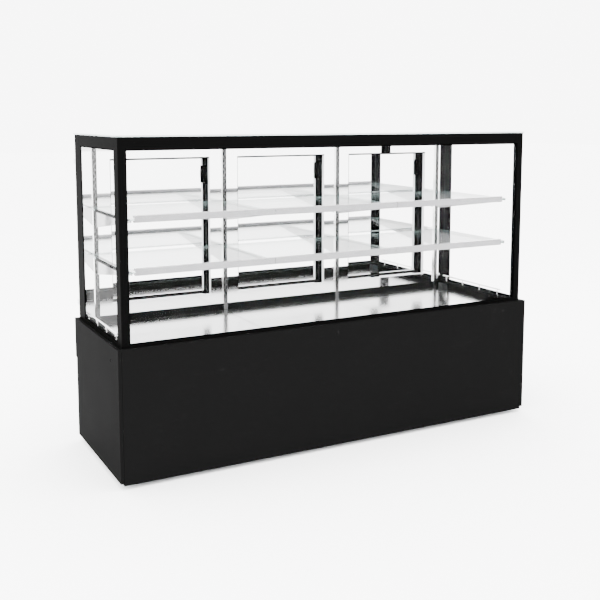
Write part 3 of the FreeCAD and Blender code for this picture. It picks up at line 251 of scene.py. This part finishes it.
WEARS = {
    "base_frame": "galvanised", "floor_pan": "galvanised", "front_panel": "panel",
    "left_side_panel": "panel", "right_side_panel": "panel", "control_fascia": "panel",
    "rear_service_grille": "panel", "base_ledge": "frame", "levelling_feet": "rubber",
    "insulated_tub": "inner", "tub_liner": "inner", "evaporator_coil": "fins", "fan_deck": "galvanised",
    "evap_fan_rotor_left": "fan", "evap_fan_rotor_right": "fan", "evap_fan_motors": "plastic",
    "compressor": "shell", "compressor_mounts": "rubber", "condenser_coil": "fins",
    "condenser_shroud": "galvanised", "condenser_fan_rotor": "fan", "condenser_fan_motor": "plastic",
    "refrigerant_pipes": "copper", "condensate_tray": "steel", "electrical_box": "plastic",
    "power_gland": "plastic", "display_lens": "display", "button_up": "button",
    "button_down": "button", "button_set": "button", "power_switch": "plastic",
    "corner_posts": "frame", "top_frame": "frame", "bottom_frame": "frame", "front_glass": "front",
    "end_glasses": "ends", "top_glass": "top", "rear_frame": "inner",
    "rear_mirror_liner": "liner", "shelf_standards": "chrome_painted_shade", "shelf_brackets": "shelf",
    "bracket_pads": "rubber", "shelf_glass": "shelfglass", "shelf_nosings": "shelf",
    "door_gaskets": "rubber", "hinge_brackets": "steel", "deck_trays": "deck",
    "deck_grilles": "deck", "top_led_lamp": "lamp", "end_guard_rails": "rod",
    "door_catches": "inner",
}
for number in (1, 2, 3):
    WEARS["door_%d_frame" % number] = "anodised"
    WEARS["door_%d_mirror" % number] = "mirror"
    WEARS["door_%d_handle" % number] = "anodised"
for node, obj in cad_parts.items():
    for index in range(len(obj.material_slots)):
        obj.material_slots[index].link = "OBJECT"
        obj.material_slots[index].material = M[WEARS[node]]


# ------------------------------------------------------------ detail pieces
ACROSS = {"X": (1, 2), "Y": (0, 2), "Z": (0, 1)}


class Piece:
    """One detail mesh. It is made of beveled blocks, swept rings and turned bodies."""

    def __init__(self, name, material, slot, body="case"):
        self.name, self.material, self.slot, self.body = name, material, slot, body
        self.bm = bmesh.new()

    def block(self, low, high, soft=0.0004):
        made = bmesh.ops.create_cube(self.bm, size=1.0)["verts"]
        for vert in made:
            for axis in range(3):
                middle = (low[axis] + high[axis]) / 2
                vert.co[axis] = middle + vert.co[axis] * (high[axis] - low[axis])
        edges = list({edge for vert in made for edge in vert.link_edges})
        bmesh.ops.bevel(self.bm, geom=edges, offset=soft, segments=2, affect="EDGES", profile=0.5)

    def ring(self, axis, rect, section, level):
        """Sweeps a closed section round a rectangle. A section point is (inwards, along the axis)."""
        u, v = ACROSS[axis]
        w = "XYZ".index(axis)
        rows = []
        for at_u, in_u, at_v, in_v in ((rect[0], 1, rect[1], 1), (rect[2], -1, rect[1], 1),
                                       (rect[2], -1, rect[3], -1), (rect[0], 1, rect[3], -1)):
            row = []
            for inwards, lift in section:
                point = [0.0, 0.0, 0.0]
                point[u] = at_u + in_u * inwards
                point[v] = at_v + in_v * inwards
                point[w] = level + lift
                row.append(self.bm.verts.new(point))
            rows.append(row)
        self.close(rows, True)

    def close(self, rows, closed):
        count = len(rows[0])
        for k in range(len(rows) if closed else len(rows) - 1):
            here, after = rows[k], rows[(k + 1) % len(rows)]
            for j in range(count):
                self.bm.faces.new((here[j], here[(j + 1) % count], after[(j + 1) % count], after[j]))

    def turned(self, centre, axis, profile, steps=24):
        """Turns a profile of (radius, height) pairs, from the foot to the closed top."""
        u, v = ACROSS[axis]
        w = "XYZ".index(axis)
        rows = []
        for radius, height in profile:
            row = []
            for k in range(steps):
                angle = 2 * math.pi * k / steps
                point = list(centre)
                point[u] += radius * math.cos(angle)
                point[v] += radius * math.sin(angle)
                point[w] += height
                row.append(self.bm.verts.new(point))
            rows.append(row)
        self.close(rows, False)
        self.bm.faces.new(rows[-1])
        self.bm.faces.new(list(reversed(rows[0])))

    def plate(self, points, thick):
        """A flat outline of (x, y, z) corners, thickened along +Y."""
        low = [self.bm.verts.new(p) for p in points]
        high = [self.bm.verts.new((p[0], p[1] + thick, p[2])) for p in points]
        self.bm.faces.new(low)
        self.bm.faces.new(list(reversed(high)))
        for k in range(len(points)):
            n = (k + 1) % len(points)
            self.bm.faces.new((low[n], low[k], high[k], high[n]))

    def done(self, smooth=False):
        bmesh.ops.recalc_face_normals(self.bm, faces=self.bm.faces)
        mesh = bpy.data.meshes.new(self.name)
        self.bm.to_mesh(mesh)
        self.bm.free()
        for face in mesh.polygons:
            face.use_smooth = smooth
        obj = bpy.data.objects.new(self.name, mesh)
        bpy.context.scene.collection.objects.link(obj)
        mesh.materials.append(M[self.material])
        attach(obj, self.body)
        return obj


def half_round(width, height, steps=6):
    """Section of a soft strip: flat at the back, crowned at the front."""
    turns = [math.pi * k / steps for k in range(steps + 1)]
    return [(width / 2 - width / 2 * math.cos(turn), height * math.sin(turn)) for turn in turns]


SCREW = [(0.0034, 0.0), (0.0033, 0.0007), (0.0026, 0.0015), (0.0017, 0.0018), (0.0016, 0.0018),
         (0.0014, 0.0008)]


def glazing_gaskets():
    """Black strips between the frame's inner edges and the panes."""
    rubber_and_painted_shade = Piece("glazing_gaskets", "rubber_and_painted_shade", "black_rubber")
    strip = half_round(0.006, 0.0016)
    face = [(a - 0.0015, -b) for a, b in strip]
    rubber_and_painted_shade.ring("Y", (-0.8520, PANE_LOW, 0.8520, PANE_HIGH), face, FRONT_PANE_SEAT)
    for side in (-1, 1):
        end = [(a - 0.0015, side * b) for a, b in strip]
        rubber_and_painted_shade.ring("X", (-0.2530, PANE_LOW, 0.1820, PANE_HIGH), end, side * END_PANE_SEAT)
    rubber_and_painted_shade.done(True)


SEAL = [(-0.0001, -0.0060), (0.0004, -0.0062), (0.0008, -0.0056), (0.0008, 0.0004), (-0.0001, 0.0004)]


def opening_trims():
    """Pale strips along the sill and the right edge, dark strips along the head and the left edge, and a
    rubber edge seal in each door opening. The pale sill strip is partly real edging and partly painted
    highlight, the pale right-edge strip is a painted highlight of the lining's front edge, and the dark head
    and left strips are painted shade.
    """
    sill_and_highlight = Piece("opening_sill_highlights", "trim_and_highlight", "bright_metal")
    head_shade = Piece("opening_head_shade", "rubber_and_painted_shade", "black_rubber")
    seal = Piece("opening_seals", "rubber_and_painted_shade", "black_rubber")
    for centre in OPENINGS:
        left, right = centre - OPENING_HALF, centre + OPENING_HALF
        top = OPENING_HIGH - 0.0014
        # pale sill strip: partly real edging, partly painted highlight
        sill_and_highlight.block((left - 0.004, WALL_FRONT - 0.0014, OPENING_LOW - 0.0045),
                   (right + 0.004, WALL_FRONT, OPENING_LOW + 0.0004))
        # pale strip in the right reveal: painted highlight of the lining's front edge
        sill_and_highlight.block((right - 0.0017, WALL_FRONT + 0.0002, OPENING_LOW + 0.002),
                   (right - 0.0011, WALL_FRONT + 0.0165, OPENING_HIGH - 0.009), 0.0002)
        # dark strips at the head and the left edge: painted shade
        head_shade.block((left + 0.0014, WALL_FRONT - 0.0012, OPENING_HIGH - 0.0078),
                   (right - 0.0014, WALL_FRONT + 0.006, top), 0.0003)
        head_shade.block((left - 0.0004, WALL_FRONT - 0.0012, OPENING_LOW + 0.006),
                   (left + 0.0010, WALL_FRONT - 0.0001, top), 0.0003)
        seal.ring("Y", (left + FOLD, OPENING_LOW + FOLD, right - FOLD, OPENING_HIGH - FOLD), SEAL,
                  OPENING_SHEET_END)
    sill_and_highlight.done()
    head_shade.done()
    seal.done()


def shelf_end_painted_shade():
    """Dark strips on the two outer ends of each shelf: painted shade for the dark-looking glass ends,
    reaching lower on the lower shelf for the shadow under its end.
    """
    end_shade = Piece("shelf_end_painted_shade", "rubber_and_painted_shade", "black_rubber")
    for top, low in ((0.935, 0.9247), (0.750, 0.7368)):
        for side in (-1, 1):
            inner, outer = sorted((side * 0.8431, side * 0.8446))
            end_shade.block((inner, -0.238, low), (outer, 0.130, top + 0.0002), 0.0004)
    end_shade.done()


def side_locks():
    """Cam lock set into the round hole of each side panel."""
    for side, name in ((-1, "left"), (1, "right")):
        lock = Piece("side_lock_" + name, "screw", "black_powder")
        face = side * 0.8986
        out = [(0.0037, -0.006), (0.0037, -0.0004), (0.0033, 0.0), (0.0016, 0.0), (0.0012, -0.0008)]
        lock.turned((face, *LOCK_SPOT), "X", [(radius, side * depth) for radius, depth in out])
        lock.done(True)


def standard_slot_painted_shade():
    """Dark strip behind the slots of each upright: painted shade for the unlit inside of the channel."""
    slot_shade = Piece("standard_slot_painted_shade", "shade", "black_powder")
    for x in STANDARDS:
        slot_shade.block((x - 0.0067, 0.2173, 0.474), (x + 0.0067, 0.2215, 1.205), 0.0003)
    slot_shade.done()


def catch_tongues():
    """Spring tongue of each door catch."""
    tongue = Piece("catch_tongues", "inner", "black_plastic")
    for centre in OPENINGS:
        x = centre + OPENING_HALF - CATCH_WIDTH
        tongue.block((x - 0.0025, 0.2495, 1.028), (x - 0.0002, 0.2585, 1.060), 0.0009)
    tongue.done(True)


def rear_controls():
    """Lit digits, a bezel and plain marks on the control panel at the back."""
    face = FASCIA_REAR
    bezel = Piece("display_bezel", "plastic", "black_plastic")
    bezel.ring("Y", (0.3865, 0.3965, 0.4735, 0.4375), half_round(0.0035, 0.0016), face)
    bezel.done(True)
    digits = Piece("display_digits", "digits", "display_dark")
    high, wide, pen = 0.020, 0.011, 0.0018
    strokes = {"a": (0, 1, 1, 1), "b": (1, 0.5, 1, 1), "c": (1, 0, 1, 0.5), "d": (0, 0, 1, 0),
               "e": (0, 0, 0, 0.5), "f": (0, 0.5, 0, 1), "g": (0, 0.5, 1, 0.5)}
    for at, lit in ((0.442, "abcdef"), (0.424, "fgbc")):
        for letter in lit:
            x0, z0, x1, z1 = strokes[letter]
            start = Vector((at - x0 * wide, 0, 0.407 + z0 * high))
            stop = Vector((at - x1 * wide, 0, 0.407 + z1 * high))
            run = (stop - start).normalized()
            side = Vector((run.z, 0, -run.x)) * pen / 2
            start, stop = start + run * pen * 0.6, stop - run * pen * 0.6
            tip = run * pen / 2
            corners = [start - tip, start + side, stop + side, stop + tip, stop - side, start - side]
            digits.plate([(c.x, face + 0.0010, c.z) for c in corners], 0.00025)
    digits.done()
    marks = {
        "button_up": [(-1, -0.7), (1, -0.7), (0, 0.9)],
        "button_down": [(-1, 0.7), (0, -0.9), (1, 0.7)],
        "button_set": [(0.8, 0), (0.4, 0.7), (-0.4, 0.7), (-0.8, 0), (-0.4, -0.7), (0.4, -0.7)],
    }
    for node, shape in marks.items():
        low, high_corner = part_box(node)
        x, z = (low[0] + high_corner[0]) / 2, (low[2] + high_corner[2]) / 2
        mark = Piece(node + "_mark", "mark", "button_grey", node + "_body")
        mark.plate([(x + a * 0.0035, high_corner[1], z + b * 0.0035) for a, b in shape], 0.0002)
        mark.done()


def rear_fixings():
    """Screws of the rear panels and the pressed lips of the ventilation slots."""
    screws = Piece("rear_panel_screws", "screw", "black_powder")
    for x in (-0.88, -0.44, 0.0, 0.66, 0.88):
        for z in (0.355, 0.479):
            screws.turned((x, FASCIA_REAR, z), "Y", SCREW)
    for x in (-0.87, -0.44, 0.0, 0.87):
        for z in (0.036, 0.326):
            screws.turned((x, GRILLE_REAR, z), "Y", SCREW)
    screws.done(True)
    lips = Piece("vent_lips", "panel", "black_powder")
    low, high = 0.084, 0.264
    first, pitch, width = 0.233, 0.020, 0.007
    for k in range(26):
        x = first + k * pitch
        lips.ring("Y", (x - 0.0016, low - 0.0016, x + width + 0.0016, high + 0.0016),
                  half_round(0.0016, 0.0014, 4), GRILLE_REAR)
    lips.done(True)


glazing_gaskets()
opening_trims()
shelf_end_painted_shade()
side_locks()
standard_slot_painted_shade()
catch_tongues()
rear_controls()
rear_fixings()


# ------------------------------------------------------------ floor, light and camera
def quad_mesh(name, corners, material):
    mesh = bpy.data.meshes.new(name)
    mesh.from_pydata(corners, [], [tuple(range(len(corners)))])
    obj = bpy.data.objects.new(name, mesh)
    bpy.context.scene.collection.objects.link(obj)
    mesh.materials.append(material)
    return obj


SKY_OVERHEAD = 9.5
SKY_SIDES = (("Y", -0.3, 0.4, 4.4, 8.0), ("Z", 0.15, 0.6, 0.0, 1.0))


def studio():
    """Pale floor, bright even surroundings and two soft lamps."""
    reach = 30.0
    corners = [(-reach, -reach, 0), (reach, -reach, 0), (reach, reach, 0), (-reach, reach, 0)]
    floor = quad_mesh("floor", corners, solid("pale floor", grey(0.92), 0.9))
    world = bpy.data.worlds.new("studio air")
    bpy.context.scene.world = world
    world.use_nodes = True
    air = world.node_tree.nodes["Background"]
    air.inputs["Color"].default_value = grey(1.0)
    tree = world.node_tree
    where = tree.nodes.new("ShaderNodeTexCoord")
    parts = tree.nodes.new("ShaderNodeSeparateXYZ")
    tree.links.new(where.outputs["Generated"], parts.inputs[0])
    spans = []
    for axis, low, high, dim, bright in SKY_SIDES:
        span = tree.nodes.new("ShaderNodeMapRange")
        span.interpolation_type = "SMOOTHSTEP"
        span.inputs["From Min"].default_value = low
        span.inputs["From Max"].default_value = high
        span.inputs["To Min"].default_value = dim
        span.inputs["To Max"].default_value = bright
        tree.links.new(parts.outputs[axis], span.inputs["Value"])
        spans.append(span)
    blend = tree.nodes.new("ShaderNodeMix")
    blend.inputs["B"].default_value = SKY_OVERHEAD
    tree.links.new(spans[0].outputs["Result"], blend.inputs["A"])
    tree.links.new(spans[1].outputs["Result"], blend.inputs["Factor"])
    tree.links.new(blend.outputs["Result"], air.inputs["Strength"])
    for name, place, aim, size, power in (
            ("key light", (-4.5, 0.5, 3.2), (0, 0, 0.4), 2.5, 120),
            ("top light", (0.5, 0.4, 5.0), (0, 0, 0.6), 4.0, 300)):
        lamp = bpy.data.lights.new(name, "AREA")
        lamp.size = size
        lamp.energy = power
        holder = bpy.data.objects.new(name, lamp)
        bpy.context.scene.collection.objects.link(holder)
        holder.location = place
        holder.rotation_euler = (Vector(place) - Vector(aim)).to_track_quat("Z", "Y").to_euler()


def camera():
    lens = bpy.data.cameras.new("view")
    lens.sensor_width = 36
    lens.lens = 53.605
    lens.shift_y = -0.1306
    holder = bpy.data.objects.new("view", lens)
    bpy.context.scene.collection.objects.link(holder)
    holder.location = (-1.7443, -3.2120, 1.2809)
    holder.rotation_euler = (math.radians(90 - 6.667), 0, math.radians(-28.071))
    bpy.context.scene.camera = holder


studio()
camera()
